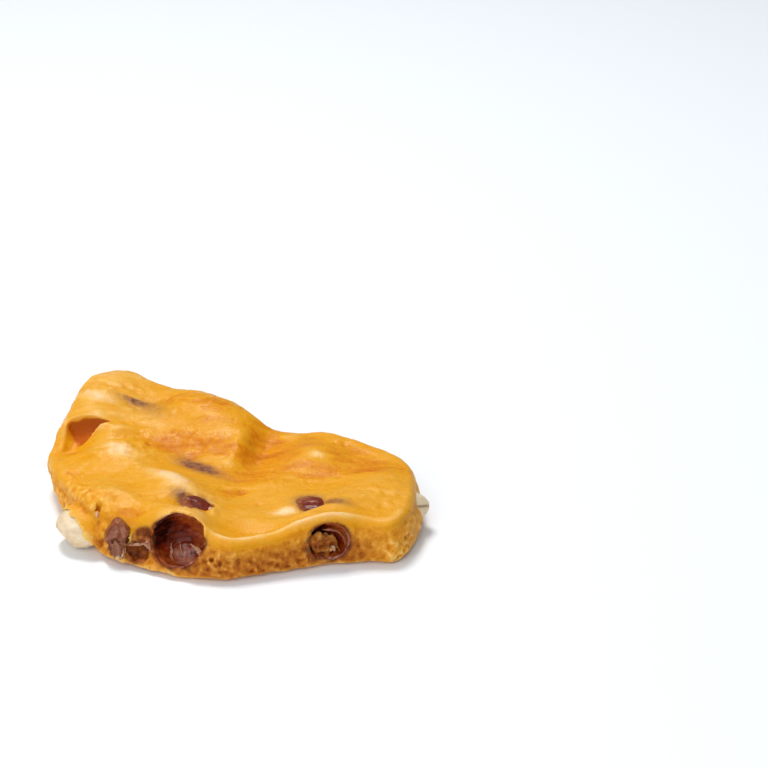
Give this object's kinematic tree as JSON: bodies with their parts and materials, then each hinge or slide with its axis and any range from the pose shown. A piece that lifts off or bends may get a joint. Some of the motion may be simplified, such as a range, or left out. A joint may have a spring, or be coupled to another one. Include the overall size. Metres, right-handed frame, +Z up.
{
  "type": "nut brittle piece",
  "caption": "Broken shard of golden caramel brittle with peanut kernels in its broken edge and empty sockets lined with dark nut skin.",
  "frame": {"origin": "middle of the piece's plan box, on the flat underside that it lies on", "axes": "+Z up from the underside, +X along the longest side, the broken side with the open nut sockets towards -Y"},
  "size_m": [0.0682, 0.0568, 0.0137],
  "materials": {
    "caramel": "satin golden caramel, cloudy and a little see-through, with fine pits and flow streaks, rough where it broke",
    "nut_flesh": "bare cream peanut flesh, satin",
    "nut_skin": "red-brown peanut skin under a glaze of caramel"
  },
  "bodies": {
    "root": {"caramel": "caramel", "peanut_edge": "nut_flesh", "peanut_front": "nut_skin", "peanut_right": "nut_skin", "peanut_left": "nut_skin", "peanut_back": "nut_flesh", "peanut_end": "nut_flesh", "skin_front": "nut_skin", "skin_right": "nut_skin"}
  },
  "joints": []
}
